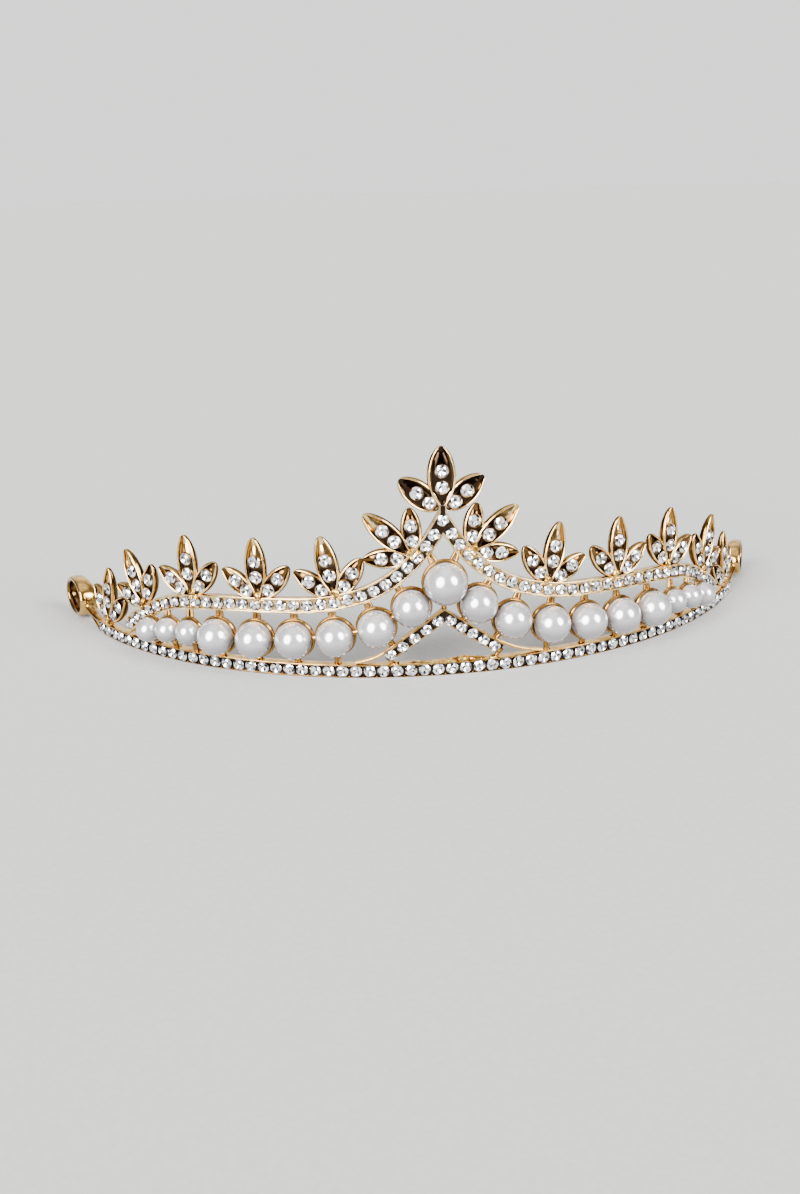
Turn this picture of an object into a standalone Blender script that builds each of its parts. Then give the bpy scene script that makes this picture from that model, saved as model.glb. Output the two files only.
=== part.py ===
"""Bridal tiara: a gold band with a swag rail, leaf trios, pearls and cut stones.

Each piece is first drawn flat, as seen from the front: x runs along the band from
its centre, y is the height above the table and z points outward, to the front.
bend() wraps a flat mesh round the head, and stand() sets a rigid piece in place.
"""
import math

import bmesh
import bpy
from mathutils import Matrix, Vector

# Plan of the band: arc length is measured from the centre of the front.
FRONT_RADIUS = 0.1015       # radius of the plan curve at the front
TIGHTENING = 0.1285         # arc length at which the curvature has doubled
STRAIGHT_FROM = 0.093       # the ends run straight from here
PLAN_END = 0.115
PLAN_STEP = 0.0005
DEPTH_CENTRE = 0.02565      # half-way between the foremost and the rearmost point

GAP = 0.0003                # clearance between pieces that touch

# Base band
BAND_HEIGHT = 0.0029
BAND_BACK = -0.0021         # outward positions of its two faces
BAND_FRONT = 0.0
BAND_LIP = 0.00035          # rim above and below the stone channel
CHANNEL_DEPTH = 0.0006
BAND_END = 0.0968
BAND_SEGMENTS = 56

# End loops: an upright oval of flat ribbon beyond each end of the band
LOOP_LENGTH = 0.0132
LOOP_HEIGHT = 0.0096
LOOP_RISE = 0.0004          # lowest point above the table
LOOP_RIBBON = 0.0022        # width of the ribbon
LOOP_THICKNESS = 0.0010
LOOP_OUT = -0.00095         # middle of the ribbon, outward
LOOP_POINTS = 20

# Swag rail: centre line from the apex down to the band, right half
RAIL_WIDTH = 0.0033
RAIL_DEPTH = 0.0017
RAIL_LIP = 0.0004
RAIL_ROUTE = (
    (-0.0022, 0.0374), (0.0000, 0.03375), (0.0037, 0.0281), (0.0078, 0.0237),
    (0.0124, 0.0203), (0.0179, 0.0179), (0.0263, 0.0161), (0.0378, 0.0155),
    (0.0497, 0.0150), (0.0585, 0.0141), (0.0640, 0.0126), (0.0692, 0.0100),
    (0.0739, 0.0071), (0.0770, 0.0047),
)
RAIL_STEPS = 3              # straight pieces between two route points
APEX_HEIGHT = 0.03375       # centre of the stone that both halves share
RAIL_STONES = 29            # on each half
FIRST_RAIL_STONE = 0.0035   # distance from the apex stone, along the rail
LAST_RAIL_STONE = 0.0016    # distance from the lower end of the rail

# Chevron: an inverted V of stone channel under the centre pearl
CHEVRON_WIDTH = 0.0028
CHEVRON_APEX = 0.0129
CHEVRON_FOOT = (0.0122, 0.0047)
CHEVRON_STONES = 5          # on each arm
FIRST_CHEVRON_STONE = 0.0016   # distances from the apex and from the foot
LAST_CHEVRON_STONE = 0.0018
TAIL_ROUTE = (
    (0.0085, 0.0087), (0.0110, 0.0070), (0.0135, 0.0056), (0.0160, 0.0045),
    (0.0188, 0.0039), (0.0215, 0.00355),
)
TAIL_RADIUS = 0.00033
CHEVRON_SEGMENTS = 5

# Stone rows
STONE_PITCH = 0.0029
BAND_STONES = 62
BAND_STONE = 0.0016         # heights of the joined rows of stones
RAIL_STONE = 0.0019
CHEVRON_STONE = 0.0014
STONE_WAIST = 0.4           # height of the joint between two stones, as a share
STONE_SHOULDER = 0.28       # from a stone's centre to its corner, in pitches
STONE_END = 0.42            # from the last stone's centre to the end of its row
STONE_FRONT = 0.00035
STONE_BACK = -0.0003
STONE_TABLE = 0.65         # width of a stone's flat top, as a share

# Pearls: arc length and height of each one on the right half
CENTRE_PEARL = 0.0089
LARGE_PEARL = 0.0079
SMALL_PEARL = 0.0055
CENTRE_PEARL_HEIGHT = 0.0212
CENTRE_PEARL_OUT = 0.0028
LARGE_PEARL_OUT = 0.0018
SMALL_PEARL_OUT = 0.00175
LARGE_PEARLS = (
    (0.00685, 0.0159), (0.01410, 0.0117), (0.0227, 0.0096),
    (0.03140, 0.0088), (0.04005, 0.0083), (0.0489, 0.0080),
)
SMALL_PEARLS = ((0.0558, 0.0081), (0.0614, 0.0077), (0.0670, 0.0067))

# Pearl cups, with the stems, posts and links that hold them
CUP_GAP = 0.0006            # between a pearl and its cup, whose sides are facets
CUP_WALL = 0.0005
CUP_ANGLE = math.radians(55)   # from the back of the pearl to the rim of the cup
SMALL_CUP_ANGLE = math.radians(32)
CUP_STEPS = 10
CUP_ARC = 2
STEM_RADIUS = 0.0005
STEM_OUT = -0.0011
CENTRE_STEM_END = (0.0042, 0.0274)   # where the two centre stems point on the rail
CENTRE_STEM_MARGIN = 0.7       # how far they stop short of it, in rail widths
CENTRE_PEG_MARGIN = 0.75       # the same for the peg below, in chevron widths

# Leaf trios. Leaf lengths are from the point where the three leaves meet.
MIDDLE_LEAF = (0.0131, 0.0045)     # length and width
SIDE_LEAF = (0.0100, 0.0041)
CENTRE_MIDDLE_LEAF = (0.0129, 0.0058)
CENTRE_SIDE_LEAF = (0.0110, 0.0044)
LEAF_START = 0.0019
LEAF_THICKNESS = 0.0013
LEAF_BELLY = 0.85              # below 1 the widest part is nearer the foot
LEAF_FULLNESS = 0.75           # below 1 the leaf is fuller towards its ends
HUB_BACK = -0.0012             # outward positions of the foot's two faces
HUB_FRONT = -0.00015
HUB_WIDTH = 0.0021             # of the foot under the leaves, twice that at its middle
HUB_TOP = 0.0036
TRIO_FOOT = 0.0010             # bottom of the foot, from where the leaves meet
END_TRIO_FOOT = -0.0005
CENTRE_TRIO_FOOT = 0.0018
LEAF_RIM = 0.00045
LEAF_RECESS = 0.0004
LEAF_POINTS = 5                # along each edge of a leaf
MIDDLE_STONES = (0.0048, 0.0085)
SIDE_STONES = (0.0034, 0.0067)
LEAF_STONE = 0.0024
LEAF_STONE_BACK = -0.0008
LEAF_STONE_FRONT = 0.00018
LEAF_STONE_SIDES = 5
# Name, arc length and height of that point, and the angles from upright of the
# inner, middle and outer leaf, in degrees, on the right half
TRIOS = (
    ("inner", 0.0059, 0.0268, (4, 47, 91)),
    ("second", 0.0223, 0.0180, (-33, 10, 56)),
    ("third", 0.0393, 0.0167, (-45, 0, 51)),
    ("fourth", 0.0550, 0.0159, (-39, 3, 57)),
    ("fifth", 0.0698, 0.0112, (-21, 17, 71)),
    ("end", 0.0850, 0.0039, (-50, -9, 41)),
)
CENTRE_TRIO_ANGLES = (-50, 0, 50)
CENTRE_TRIO_BASE = 0.0357

GOLD = {"colour": (0.83, 0.60, 0.33, 1.0), "roughness": 0.18, "metallic": 1.0}
PEARL = {"colour": (0.86, 0.84, 0.87, 1.0), "roughness": 0.25, "metallic": 0.0}
STONE = {"colour": (0.86, 0.88, 0.90, 1.0), "roughness": 0.05, "metallic": 0.0}

SIDES = (("left", -1), ("right", 1))


def heading(s):
    """Direction of the band at arc length s >= 0, as an angle from +X."""
    a = min(s, STRAIGHT_FROM)
    return a / FRONT_RADIUS * (1 + (a / TIGHTENING) ** 2 / 3)


def plan_points():
    """Points of the plan curve at every PLAN_STEP, by the midpoint rule."""
    points = [Vector((0.0, 0.0))]
    for i in range(round(PLAN_END / PLAN_STEP)):
        a = heading((i + 0.5) * PLAN_STEP)
        points.append(points[-1] + PLAN_STEP * Vector((math.cos(a), math.sin(a))))
    return points


PLAN = plan_points()


def place(s, height, out):
    """World position of the flat point (s, height, out)."""
    a = abs(s)
    i = min(int(a / PLAN_STEP), len(PLAN) - 2)
    p = PLAN[i].lerp(PLAN[i + 1], a / PLAN_STEP - i)
    h = heading(a)
    x = p.x + out * math.sin(h)
    y = p.y - out * math.cos(h)
    return Vector((math.copysign(x, s), y - DEPTH_CENTRE, height))


def rotation(s, tilt=0.0):
    """Rotation that stands a flat piece upright on the band at arc length s."""
    turn = Matrix.Rotation(math.copysign(heading(abs(s)), s), 4, "Z")
    upright = Matrix.Rotation(math.pi / 2, 4, "X")
    return turn @ upright @ Matrix.Rotation(-tilt, 4, "Z")


def clear_scene():
    for obj in list(bpy.data.objects):
        bpy.data.objects.remove(obj, do_unlink=True)


def collection(name):
    made = bpy.data.collections.new(name)
    bpy.context.scene.collection.children.link(made)
    return made


clear_scene()
TIARA = collection("bridal_tiara")


def finish(obj, look):
    """A material of the object's own."""
    material = bpy.data.materials.new(obj.name + "_finish")
    material.use_nodes = True
    shader = material.node_tree.nodes["Principled BSDF"]
    shader.inputs["Base Color"].default_value = look["colour"]
    shader.inputs["Roughness"].default_value = look["roughness"]
    shader.inputs["Metallic"].default_value = look["metallic"]
    obj.data.materials.clear()
    obj.data.materials.append(material)
    obj.data.shade_smooth()
    obj.data.set_sharp_from_angle(angle=math.radians(35))


def add(name, data):
    obj = bpy.data.objects.new(name, data)
    TIARA.objects.link(obj)
    return obj


def evaluated_mesh(obj):
    """The object's evaluated shape as a mesh, with its loose caps welded."""
    bpy.context.view_layer.update()
    graph = bpy.context.evaluated_depsgraph_get()
    mesh = bpy.data.meshes.new_from_object(obj.evaluated_get(graph))
    mesh.transform(obj.matrix_world)
    bm = bmesh.new()
    bm.from_mesh(mesh)
    bmesh.ops.remove_doubles(bm, verts=bm.verts, dist=1e-6)
    bmesh.ops.recalc_face_normals(bm, faces=bm.faces)
    bm.to_mesh(mesh)
    bm.free()
    return mesh


def baked(obj):
    """The object again as a plain mesh in flat space, in place of the first."""
    name = obj.name
    mesh = evaluated_mesh(obj)
    bpy.data.objects.remove(obj, do_unlink=True)
    return add(name, mesh)


def bend(obj):
    """Wraps a flat mesh round the head."""
    for vertex in obj.data.vertices:
        vertex.co = place(vertex.co.x, vertex.co.y, vertex.co.z)
    return obj


def stand(obj, s, height, out, tilt=0.0):
    """Sets a rigid piece, drawn flat about its own origin, on the band."""
    obj.matrix_world = Matrix.Translation(place(s, height, out)) @ rotation(s, tilt)
    return obj


def flat_curve(name, points, closed=False):
    """A 2D curve of straight pieces through points of (x, y)."""
    curve = bpy.data.curves.new(name, "CURVE")
    curve.dimensions = "2D"
    spline = curve.splines.new("POLY")
    spline.points.add(len(points) - 1)
    for point, (x, y) in zip(spline.points, points):
        point.co = (x, y, 0.0, 1.0)
    spline.use_cyclic_u = closed
    return add(name, curve)


def swept(name, route, section, closed=False):
    """A bar with a section of (across, outward) points along a flat route."""
    profile = flat_curve(name + "_section", section, closed=True)
    bar = flat_curve(name, route, closed)
    bar.data.fill_mode = "NONE"
    bar.data.bevel_mode = "OBJECT"
    bar.data.bevel_object = profile
    bar.data.use_fill_caps = not closed
    bar = baked(bar)
    bpy.data.objects.remove(profile, do_unlink=True)
    return bar


def plate(name, outline, back, front):
    """A flat outline with its back and front faces at these outward positions."""
    curve = flat_curve(name, outline, closed=True)
    curve.data.fill_mode = "BOTH"
    curve.data.extrude = (front - back) / 2
    curve.location.z = (front + back) / 2
    return baked(curve)


def rod(name, start, end, radius, sides=4):
    """A straight rod between two flat points of (x, y, z)."""
    start = Vector(start)
    axis = Vector(end) - start
    mesh = bpy.data.meshes.new(name)
    bm = bmesh.new()
    bmesh.ops.create_cone(
        bm, cap_ends=True, segments=sides, radius1=radius, radius2=radius,
        depth=axis.length)
    bm.to_mesh(mesh)
    bm.free()
    turn = axis.to_track_quat("Z", "Y").to_matrix().to_4x4()
    mesh.transform(Matrix.Translation(start + axis / 2) @ turn)
    return add(name, mesh)


def combine(name, parts, operation="UNION"):
    """One solid from the first part and the rest, by exact Booleans."""
    first = parts[0]
    for other in parts[1:]:
        step = first.modifiers.new(other.name, "BOOLEAN")
        step.operation = operation
        step.object = other
    mesh = evaluated_mesh(first)
    for part in parts:
        bpy.data.objects.remove(part, do_unlink=True)
    return add(name, mesh)


def channel_section(width, back, front, lip):
    """Section of a bar with a channel for stones sunk in its front face."""
    half = width / 2
    inner = half - lip
    floor = front - CHANNEL_DEPTH
    return (
        (-half, back), (half, back), (half, front), (inner, front),
        (inner, floor), (-inner, floor), (-inner, front), (-half, front),
    )


def smooth_route(points, steps):
    """Catmull-Rom points through a short list of (x, y) points."""
    knots = [Vector(p) for p in points]
    ends = [2 * knots[0] - knots[1]] + knots + [2 * knots[-1] - knots[-2]]
    route = []
    for a, b, c, d in zip(ends, ends[1:], ends[2:], ends[3:]):
        for i in range(steps):
            t = i / steps
            route.append(0.5 * (2 * b + (c - a) * t + (2 * a - 5 * b + 4 * c - d) * t ** 2
                                + (3 * b - a - 3 * c + d) * t ** 3))
    route.append(knots[-1])
    return route


def lengths(route):
    """Arc length from the start of a route to each of its points."""
    total = [0.0]
    for a, b in zip(route, route[1:]):
        total.append(total[-1] + (b - a).length)
    return total


def along(route, distance):
    """Point and direction at a distance along a route."""
    marks = lengths(route)
    i = 0
    while i < len(marks) - 2 and marks[i + 1] < distance:
        i += 1
    piece = route[i + 1] - route[i]
    return route[i] + piece.normalized() * (distance - marks[i]), piece.normalized()


def nearest(route, point):
    """The point of a route that is closest to a point."""
    best = None
    for a, b in zip(route, route[1:]):
        piece = b - a
        t = max(0.0, min(1.0, (point - a).dot(piece) / piece.length_squared))
        candidate = a + piece * t
        if best is None or (candidate - point).length < (best - point).length:
            best = candidate
    return best


def flipped(route, sign):
    """The route, or its mirror image on the left half."""
    return [Vector((sign * p.x, p.y)) for p in route]


RAIL = smooth_route(RAIL_ROUTE, RAIL_STEPS)
CHEVRON = [Vector((0.0, CHEVRON_APEX)), Vector(CHEVRON_FOOT)]


def mirrored(obj):
    """Cuts a flat mesh at x = 0 and mirrors its right half to the left."""
    mirror = obj.modifiers.new("halves", "MIRROR")
    mirror.use_axis = (True, False, False)
    mirror.use_bisect_axis = (True, False, False)
    mirror.merge_threshold = 0.00001
    mirror.bisect_threshold = 0.000001
    return baked(obj)


def make_band():
    half = BAND_HEIGHT / 2
    step = 2 * BAND_END / BAND_SEGMENTS
    route = [(-BAND_END + i * step, half) for i in range(BAND_SEGMENTS + 1)]
    section = channel_section(BAND_HEIGHT, BAND_BACK, BAND_FRONT, BAND_LIP)
    finish(bend(swept("base_band", route, section)), GOLD)


def make_end_loop(side, sign):
    """An oval ribbon loop that stands just beyond the end of the band."""
    a = (LOOP_LENGTH - LOOP_THICKNESS) / 2
    b = (LOOP_HEIGHT - LOOP_THICKNESS) / 2
    middle_x = sign * (BAND_END + GAP + LOOP_LENGTH / 2)
    middle_y = LOOP_RISE + LOOP_HEIGHT / 2
    route = []
    for i in range(LOOP_POINTS):
        t = 2 * math.pi * i / LOOP_POINTS
        route.append((middle_x + a * math.cos(t), middle_y + b * math.sin(t)))
    thick = LOOP_THICKNESS / 2
    wide = LOOP_RIBBON / 2
    section = (
        (-thick, LOOP_OUT - wide), (thick, LOOP_OUT - wide),
        (thick, LOOP_OUT + wide), (-thick, LOOP_OUT + wide),
    )
    loop = swept("end_loop_" + side, route, section, closed=True)
    finish(bend(loop), GOLD)


def make_swag_rail():
    section = channel_section(RAIL_WIDTH, -RAIL_DEPTH, 0.0, RAIL_LIP)
    rail = mirrored(swept("swag_rail", RAIL, section))
    finish(bend(rail), GOLD)


def make_chevron():
    """The stone channel, with a thin wire that runs on from its upper edge."""
    direction = (CHEVRON[1] - CHEVRON[0]).normalized()
    start = CHEVRON[0] - direction * CHEVRON_WIDTH
    route = [start.lerp(CHEVRON[1], i / CHEVRON_SEGMENTS) for i in range(CHEVRON_SEGMENTS + 1)]
    section = channel_section(CHEVRON_WIDTH, -RAIL_DEPTH, 0.0, RAIL_LIP)
    arm = swept("chevron_arm", route, section)
    tail = flat_curve("chevron_tail", smooth_route(TAIL_ROUTE, 2))
    tail.data.dimensions = "3D"
    tail.data.bevel_depth = TAIL_RADIUS
    tail.data.bevel_resolution = 1
    tail.data.use_fill_caps = True
    tail.location.z = -TAIL_RADIUS
    arm = combine("chevron", [arm, baked(tail)])
    finish(bend(mirrored(arm)), GOLD)


def stone_row(name, route, marks, size):
    """Cut stones of one row, joined edge to edge as one solid."""
    pitch = marks[1] - marks[0]
    stations = [(marks[0] - STONE_END * pitch, STONE_WAIST)]
    for mark in marks:
        stations.append((mark - STONE_SHOULDER * pitch, 1.0))
        stations.append((mark + STONE_SHOULDER * pitch, 1.0))
        stations.append((mark + pitch / 2, STONE_WAIST))
    stations[-1] = (marks[-1] + STONE_END * pitch, STONE_WAIST)
    bm = bmesh.new()
    rings = []
    for distance, scale in stations:
        centre, direction = along(route, distance)
        across = Vector((-direction.y, direction.x))
        wide = size / 2 * scale
        table = wide * STONE_TABLE
        corners = ((-wide, STONE_BACK), (wide, STONE_BACK),
                   (table, STONE_FRONT), (-table, STONE_FRONT))
        rings.append([bm.verts.new((*(centre + across * a), out)) for a, out in corners])
    for near, far in zip(rings, rings[1:]):
        for i in range(4):
            bm.faces.new((near[i], near[i - 1], far[i - 1], far[i]))
    bm.faces.new(rings[0])
    bm.faces.new(reversed(rings[-1]))
    bmesh.ops.recalc_face_normals(bm, faces=bm.faces)
    mesh = bpy.data.meshes.new(name)
    bm.to_mesh(mesh)
    bm.free()
    finish(bend(add(name, mesh)), STONE)


def make_stone_rows():
    half_row = (BAND_STONES - 1) / 2 * STONE_PITCH
    start = Vector((-half_row - STONE_PITCH, BAND_HEIGHT / 2))
    route = [start, Vector((-start.x, start.y))]
    marks = [STONE_PITCH * (i + 1) for i in range(BAND_STONES)]
    stone_row("band_stones", route, marks, BAND_STONE)

    rail_start = lengths(RAIL)[RAIL_STEPS]
    first = rail_start + FIRST_RAIL_STONE
    last = lengths(RAIL)[-1] - LAST_RAIL_STONE
    pitch = (last - first) / (RAIL_STONES - 1)
    rail_marks = [first + i * pitch for i in range(RAIL_STONES)]
    first = FIRST_CHEVRON_STONE
    last = (CHEVRON[1] - CHEVRON[0]).length - LAST_CHEVRON_STONE
    pitch = (last - first) / (CHEVRON_STONES - 1)
    chevron_marks = [first + i * pitch for i in range(CHEVRON_STONES)]
    for side, sign in SIDES:
        stone_row("swag_stones_" + side, flipped(RAIL, sign), rail_marks, RAIL_STONE)
        arm = flipped(CHEVRON, sign)
        stone_row("chevron_stones_" + side, arm, chevron_marks, CHEVRON_STONE)

    half = RAIL_STONE / 2
    apex = gem("apex_stone", half, STONE_BACK, STONE_FRONT)
    finish(stand(apex, 0.0, APEX_HEIGHT, 0.0), STONE)


def gem(name, radius, back, front, x=0.0, y=0.0, sides=8):
    """A stone with a flat table, at (x, y) in a flat piece."""
    mesh = bpy.data.meshes.new(name)
    bm = bmesh.new()
    bmesh.ops.create_cone(
        bm, cap_ends=True, segments=sides, radius1=radius, radius2=radius * STONE_TABLE,
        depth=front - back)
    bmesh.ops.translate(bm, verts=bm.verts, vec=(x, y, (front + back) / 2))
    bm.to_mesh(mesh)
    bm.free()
    return add(name, mesh)


def make_pearl(name, diameter, s, height, out):
    mesh = bpy.data.meshes.new(name)
    bm = bmesh.new()
    bmesh.ops.create_uvsphere(bm, u_segments=10, v_segments=8, radius=diameter / 2)
    bm.to_mesh(mesh)
    bm.free()
    finish(stand(add(name, mesh), s, height, out), PEARL)


def cup_angle(diameter):
    return SMALL_CUP_ANGLE if diameter == SMALL_PEARL else CUP_ANGLE


def pearl_cup(name, diameter, s, height, out):
    """A shallow bowl behind a pearl, turned about the outward axis."""
    inner = diameter / 2 + CUP_GAP
    outer = inner + CUP_WALL
    angles = [cup_angle(diameter) * i / CUP_ARC for i in range(CUP_ARC + 1)]
    profile = [(inner * math.sin(a), 0.0, -inner * math.cos(a)) for a in angles]
    profile += [(outer * math.sin(a), 0.0, -outer * math.cos(a)) for a in reversed(angles)]
    mesh = bpy.data.meshes.new(name)
    mesh.from_pydata(profile, [(i, i + 1) for i in range(len(profile) - 1)], [])
    cup = add(name, mesh)
    turn = cup.modifiers.new("turn", "SCREW")
    turn.steps = CUP_STEPS
    turn.render_steps = CUP_STEPS
    turn.use_merge_vertices = True
    turn.merge_threshold = 0.00001
    cup.location = (s, height, out)
    return baked(cup)


def cup_point(centre, towards, diameter):
    """A point just inside the rim of a cup, on the side of another point."""
    radius = (diameter / 2 + CUP_GAP + CUP_WALL / 2) * math.sin(cup_angle(diameter))
    return centre + (towards - centre).normalized() * (radius - CUP_WALL / 2)


def cup_rim_out(diameter, out):
    return out - (diameter / 2 + CUP_GAP + CUP_WALL / 2) * math.cos(cup_angle(diameter))


def strut(name, centre, target, margin, diameter, out):
    """A rod from a cup's rim towards a target, which it stops short of."""
    rim = cup_point(centre, target, diameter)
    end = target - (target - centre).normalized() * margin
    rim_out = cup_rim_out(diameter, out)
    return rod(name, (*rim, rim_out), (*end, STEM_OUT), STEM_RADIUS)


def make_gallery(side, sign):
    """The nine cups of one side, with their links, stems and posts."""
    pearls = [(s, h, LARGE_PEARL, LARGE_PEARL_OUT) for s, h in LARGE_PEARLS]
    pearls += [(s, h, SMALL_PEARL, SMALL_PEARL_OUT) for s, h in SMALL_PEARLS]
    rail = flipped(RAIL, sign)
    chevron = flipped(CHEVRON, sign)
    parts = []
    links = []
    for i, (s, height, diameter, out) in enumerate(pearls):
        centre = Vector((sign * s, height))
        parts.append(pearl_cup("cup", diameter, centre.x, centre.y, out))
        top = nearest(rail, centre)
        reach = RAIL_WIDTH / 2 + GAP
        if (cup_point(centre, top, diameter) - top).length > reach:
            links.append(strut("stem", centre, top, reach, diameter, out))
        if i < 2:
            foot = nearest(chevron, centre)
            margin = CHEVRON_WIDTH / 2 + 2 * GAP
        else:
            foot = Vector((centre.x, BAND_HEIGHT))
            margin = 2 * GAP
        links.append(strut("post", centre, foot, margin, diameter, out))
        if i:
            last_s, last_height, last_diameter, last_out = pearls[i - 1]
            last = Vector((sign * last_s, last_height))
            a = cup_point(last, centre, last_diameter)
            b = cup_point(centre, last, diameter)
            start = (*a, cup_rim_out(last_diameter, last_out))
            end = (*b, cup_rim_out(diameter, out))
            links.append(rod("link", start, end, STEM_RADIUS))
    finish(bend(combine("pearl_gallery_" + side, parts + links)), GOLD)


def make_centre_cup():
    """The cup of the centre pearl, on two stems and a peg."""
    centre = Vector((0.0, CENTRE_PEARL_HEIGHT))
    parts = [pearl_cup("cup", CENTRE_PEARL, 0.0, CENTRE_PEARL_HEIGHT, CENTRE_PEARL_OUT)]
    for side, sign in SIDES:
        top = Vector((sign * CENTRE_STEM_END[0], CENTRE_STEM_END[1]))
        margin = RAIL_WIDTH * CENTRE_STEM_MARGIN
        parts.append(strut("stem", centre, top, margin, CENTRE_PEARL, CENTRE_PEARL_OUT))
    foot = Vector((0.0, CHEVRON_APEX))
    margin = CHEVRON_WIDTH * CENTRE_PEG_MARGIN
    parts.append(strut("peg", centre, foot, margin, CENTRE_PEARL, CENTRE_PEARL_OUT))
    finish(bend(combine("centre_pearl_cup", parts)), GOLD)


def leaf_outline(length, width, angle, inset=0.0):
    """A pointed leaf that starts LEAF_START from the origin, at an angle from +Y."""
    start = LEAF_START + inset
    reach = length - 2 * inset - start
    left = []
    for i in range(LEAF_POINTS):
        u = i / (LEAF_POINTS - 1)
        fullness = math.sin(math.pi * u ** LEAF_BELLY) ** LEAF_FULLNESS
        half = (width / 2 - inset) * fullness
        left.append(Vector((-half, start + reach * u)))
    right = [Vector((-p.x, p.y)) for p in reversed(left[1:-1])]
    turn = Matrix.Rotation(-angle, 2)
    return [turn @ p for p in left + right]


def make_trio(name, s, height, angles, middle, side, foot):
    """Three leaves with raised rims on a short foot, each with two stones."""
    tilt = (angles[0] + angles[2]) / 2
    hub = [(-HUB_WIDTH / 2, foot), (HUB_WIDTH / 2, foot), (HUB_WIDTH, LEAF_START)]
    hub += [(HUB_WIDTH / 2, HUB_TOP), (-HUB_WIDTH / 2, HUB_TOP), (-HUB_WIDTH, LEAF_START)]
    solids = [plate("hub", hub, HUB_BACK, HUB_FRONT)]
    cuts = []
    stones = []
    leaves = ((side, SIDE_STONES), (middle, MIDDLE_STONES), (side, SIDE_STONES))
    for angle, (leaf, places) in zip(angles, leaves):
        turn = math.radians(angle - tilt)
        solids.append(plate("leaf", leaf_outline(*leaf, turn), -LEAF_THICKNESS, 0.0))
        recess = leaf_outline(*leaf, turn, LEAF_RIM)
        cuts.append(plate("recess", recess, -LEAF_RECESS, LEAF_RECESS))
        for distance in places:
            x = distance * math.sin(turn)
            y = distance * math.cos(turn)
            stones.append(gem("stone", LEAF_STONE / 2, LEAF_STONE_BACK, LEAF_STONE_FRONT,
                              x, y, LEAF_STONE_SIDES))
    body = combine("leaves", solids)
    body = combine("leaves", [body] + cuts, "DIFFERENCE")
    trio = combine(name, [body] + stones)
    finish(stand(trio, s, height, 0.0, math.radians(tilt)), GOLD)


def make_trios():
    make_trio("leaf_trio_centre", 0.0, CENTRE_TRIO_BASE, CENTRE_TRIO_ANGLES,
              CENTRE_MIDDLE_LEAF, CENTRE_SIDE_LEAF, CENTRE_TRIO_FOOT)
    for side, sign in SIDES:
        for name, s, height, angles in TRIOS:
            node = "leaf_trio_" + name + "_" + side
            foot = END_TRIO_FOOT if name == "end" else TRIO_FOOT
            turned = angles if sign > 0 else tuple(-a for a in reversed(angles))
            make_trio(node, sign * s, height, turned, MIDDLE_LEAF, SIDE_LEAF, foot)


def make_pearls():
    make_pearl("pearl_centre", CENTRE_PEARL, 0.0, CENTRE_PEARL_HEIGHT, CENTRE_PEARL_OUT)
    for side, sign in SIDES:
        for i, (s, height) in enumerate(LARGE_PEARLS, 1):
            make_pearl(f"pearl_{side}_{i}", LARGE_PEARL, sign * s, height, LARGE_PEARL_OUT)
        for i, (s, height) in enumerate(SMALL_PEARLS, len(LARGE_PEARLS) + 1):
            make_pearl(f"pearl_{side}_{i}", SMALL_PEARL, sign * s, height, SMALL_PEARL_OUT)


def main():
    make_band()
    make_swag_rail()
    make_chevron()
    make_centre_cup()
    for side, sign in SIDES:
        make_end_loop(side, sign)
        make_gallery(side, sign)
    make_stone_rows()
    make_trios()
    make_pearls()


main()
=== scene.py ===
"""Bridal tiara: the finished look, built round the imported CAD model.

As in the part's own source, each piece is drawn flat, as seen from the front: x runs
along the band from its centre, y is the height and z points outward, to the front.
bent() wraps flat points round the head, and standing() sets a rigid shape in place.
All lengths are in metres.
"""
import math
import random

import bmesh
import bpy
from mathutils import Matrix, Vector, noise


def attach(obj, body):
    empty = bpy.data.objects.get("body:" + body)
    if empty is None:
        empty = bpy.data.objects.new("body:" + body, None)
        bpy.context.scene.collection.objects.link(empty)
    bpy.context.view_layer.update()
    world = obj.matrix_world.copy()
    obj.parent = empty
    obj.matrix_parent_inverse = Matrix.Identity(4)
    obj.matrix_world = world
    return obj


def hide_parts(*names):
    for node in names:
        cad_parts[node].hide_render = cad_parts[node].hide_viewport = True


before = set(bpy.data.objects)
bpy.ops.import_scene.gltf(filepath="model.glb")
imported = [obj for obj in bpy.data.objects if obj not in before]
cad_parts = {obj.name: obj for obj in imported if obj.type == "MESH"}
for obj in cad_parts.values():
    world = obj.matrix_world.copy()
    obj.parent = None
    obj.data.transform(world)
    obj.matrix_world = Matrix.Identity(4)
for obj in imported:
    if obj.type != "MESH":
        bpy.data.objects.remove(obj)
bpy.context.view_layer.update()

# Plan of the band, as in the CAD
FRONT_RADIUS = 0.1015
TIGHTENING = 0.1285
STRAIGHT_FROM = 0.093
PLAN_END = 0.115
PLAN_STEP = 0.0005
DEPTH_CENTRE = 0.02565

# Base band
BAND_HEIGHT = 0.0029
BAND_BACK = -0.0021
BAND_END = 0.0968
BAND_LIP = 0.0003
BAND_FLOOR = -0.0004
BAND_STATION = 0.0004       # distance between two cross-sections
BAND_STONES = 62
STONE_PITCH = 0.0029
LAST_STONE_END = 0.0899     # the band slims down and rises from here to its ends
BAND_END_SLIM = 0.70        # share of its height that it loses there
BAND_END_THIN = 0.45        # share of its depth that it loses there
BAND_END_RISE = 0.0013
# tone to which the band's painted shade fades at its ends
BAND_END_TONE = 0.15
RIPPLE = 0.00004            # unevenness of the band's upper face
ROUGH_RIPPLE = 0.00022      # how much more uneven it is at ROUGH_CENTRE
ROUGH_CENTRE = 0.001
ROUGH_REACH = 0.0125
# the upper face carries little painted shade
BAND_TOP_TONE = 0.2
CLAW_SPREAD = 0.00112
CLAW_RADIUS = 0.00013

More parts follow.
